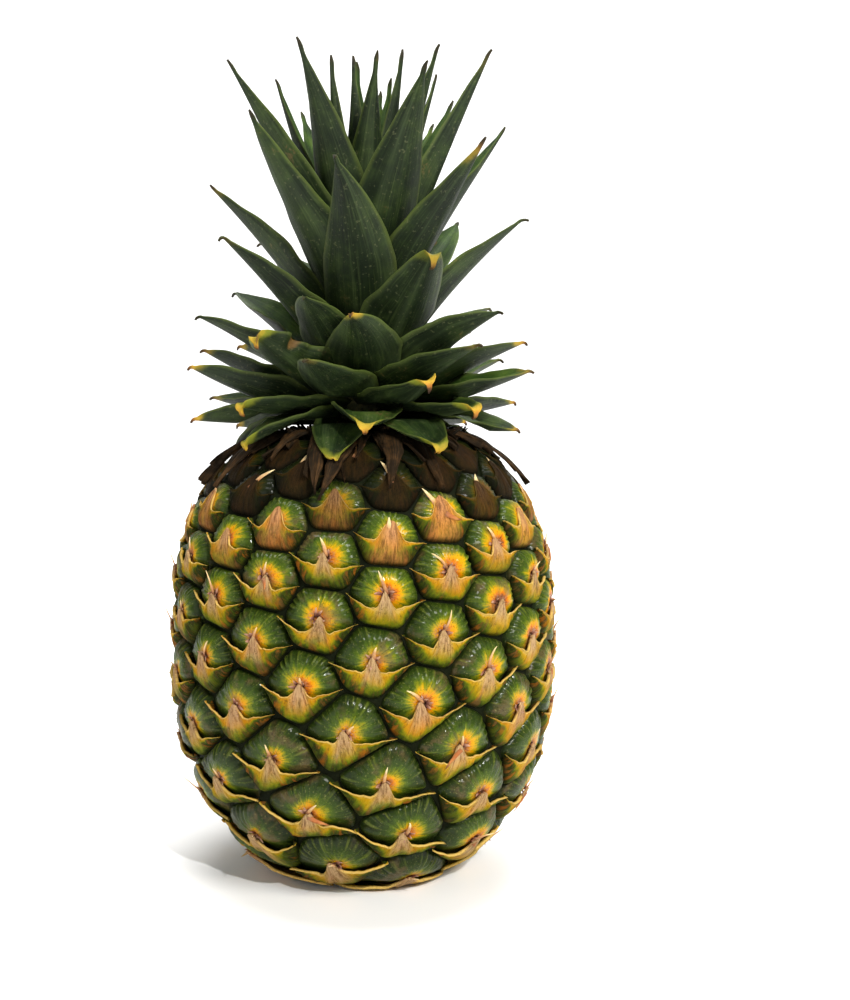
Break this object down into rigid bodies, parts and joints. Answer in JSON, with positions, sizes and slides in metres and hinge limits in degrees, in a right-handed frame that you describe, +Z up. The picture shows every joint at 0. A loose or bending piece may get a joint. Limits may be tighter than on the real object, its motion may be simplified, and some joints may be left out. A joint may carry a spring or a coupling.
{
  "type": "pineapple",
  "caption": "Whole fresh pineapple, standing upright on its cut base, with raised spiral eyes and a full crown of stiff channelled leaves.",
  "frame": {"origin": "centre of the flat base that the fruit stands on, on the cut face of its stalk", "axes": "+Z up the fruit's axis to the crown, -Y the side that faces the viewer in the picture, +X to the viewer's right"},
  "size_m": [0.1296, 0.1287, 0.2682],
  "materials": {
    "skin": "waxy fruit skin: dark green glossy domes, golden fibrous bracts and brown dry centres",
    "leaf": "stiff satin leaf, grey-green below, brighter green above, yellow and brown at the tips",
    "dry_leaf": "dry papery brown leaf, matt and fibrous",
    "cut_stalk": "cut fibrous stalk end, matt, pale tan"
  },
  "bodies": {
    "root": {"fruit": "skin", "crown": "leaf", "collar": "dry_leaf", "stalk": "cut_stalk"}
  },
  "joints": []
}
